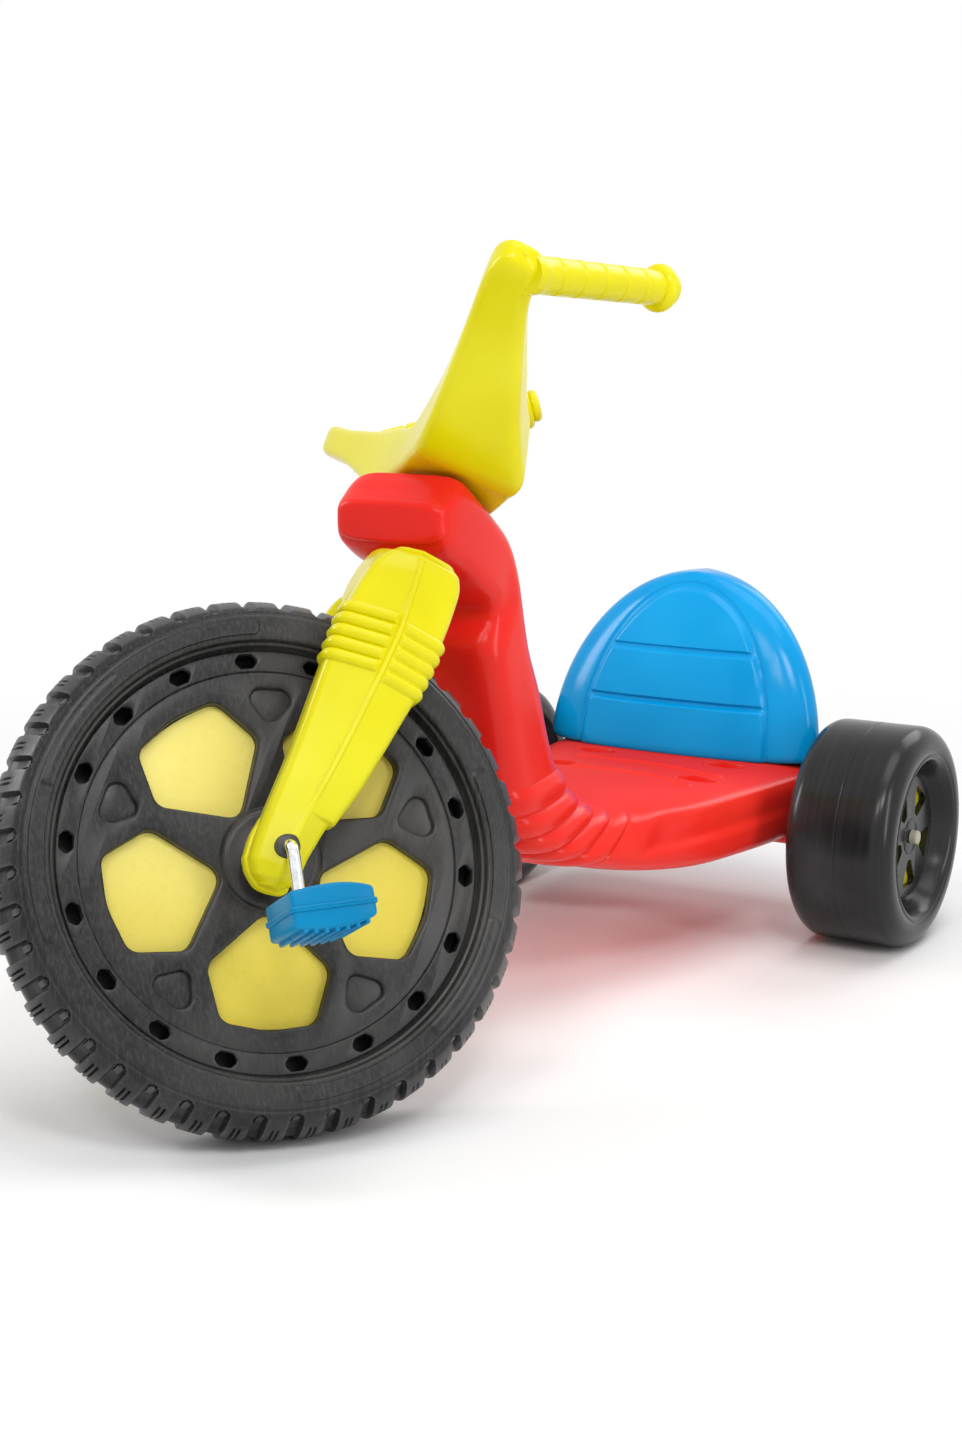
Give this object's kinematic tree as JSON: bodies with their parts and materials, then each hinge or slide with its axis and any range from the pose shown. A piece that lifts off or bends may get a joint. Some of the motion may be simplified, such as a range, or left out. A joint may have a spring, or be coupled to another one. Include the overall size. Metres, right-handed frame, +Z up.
{
  "type": "low rider tricycle",
  "caption": "Low moulded ride-on tricycle with a large pedalled front wheel in a raked fork, a high handlebar, a backrest seat and wide rear wheels.",
  "frame": {"origin": "on the ground under the middle of the bounding box, in the plane of symmetry of the frame", "axes": "+Z up, -Y to the front, +X to the rider's left; the fork is stored turned 45 degrees to the right"},
  "size_m": [0.534, 0.9384, 0.6481],
  "materials": {
    "red_plastic": "gloss",
    "yellow_plastic": "gloss",
    "blue_plastic": "gloss",
    "gold_panel": "satin",
    "black_plastic": "satin",
    "cream_plastic": "satin",
    "chrome": "polished",
    "steel": "zinc plated"
  },
  "bodies": {
    "frame": {"frame_body": "red_plastic", "head_bush_lower": "cream_plastic", "head_bush_upper": "cream_plastic", "seat": "blue_plastic", "seat_bolt_left": "steel", "seat_bolt_right": "steel", "rear_axle": "steel", "axle_cap_left": "cream_plastic", "axle_cap_right": "cream_plastic", "spacer_left": "black_plastic", "spacer_right": "black_plastic"},
    "steering": {"fork": "yellow_plastic", "steering_stem": "steel", "handlebar": "yellow_plastic", "stem_screw": "steel", "crank_bush_left": "black_plastic", "crank_bush_right": "black_plastic"},
    "front_wheel": {"front_wheel": "black_plastic", "crank": "chrome", "panel_l1": "gold_panel", "panel_l2": "gold_panel", "panel_l3": "gold_panel", "panel_l4": "gold_panel", "panel_l5": "gold_panel", "panel_r1": "gold_panel", "panel_r2": "gold_panel", "panel_r3": "gold_panel", "panel_r4": "gold_panel", "panel_r5": "gold_panel", "pedal_washer_left": "cream_plastic", "pedal_washer_right": "cream_plastic"},
    "pedal_left": {"pedal_left": "blue_plastic"},
    "pedal_right": {"pedal_right": "blue_plastic"},
    "rear_wheel_left": {"rear_tyre_left": "black_plastic", "hub_disc_left": "yellow_plastic", "hub_face_left": "black_plastic"},
    "rear_wheel_right": {"rear_tyre_right": "black_plastic", "hub_disc_right": "yellow_plastic", "hub_face_right": "black_plastic"}
  },
  "joints": [
    {"name": "steer", "type": "hinge", "parent": "frame", "child": "steering", "pos_m": [0, -0.10813, 0.42535], "axis": [0, 0.5736, 0.8192], "range_deg": [-20, 110]},
    {"name": "front_spin", "type": "hinge", "parent": "steering", "child": "front_wheel", "pos_m": [-0.01768, -0.29468, 0.18974], "axis": [0.7071, -0.5792, 0.4056], "continuous": true},
    {"name": "left_pedal_spin", "type": "hinge", "parent": "front_wheel", "child": "pedal_left", "pos_m": [0.00094, -0.30907, 0.13673], "axis": [0.7071, -0.5792, 0.4056], "continuous": true},
    {"name": "right_pedal_spin", "type": "hinge", "parent": "front_wheel", "child": "pedal_right", "pos_m": [-0.0363, -0.28029, 0.24275], "axis": [0.7071, -0.5792, 0.4056], "continuous": true},
    {"name": "rear_left_spin", "type": "hinge", "parent": "frame", "child": "rear_wheel_left", "pos_m": [0.217, 0.3653, 0.104], "axis": [1, 0, 0], "continuous": true},
    {"name": "rear_right_spin", "type": "hinge", "parent": "frame", "child": "rear_wheel_right", "pos_m": [-0.217, 0.3653, 0.104], "axis": [1, 0, 0], "continuous": true}
  ]
}
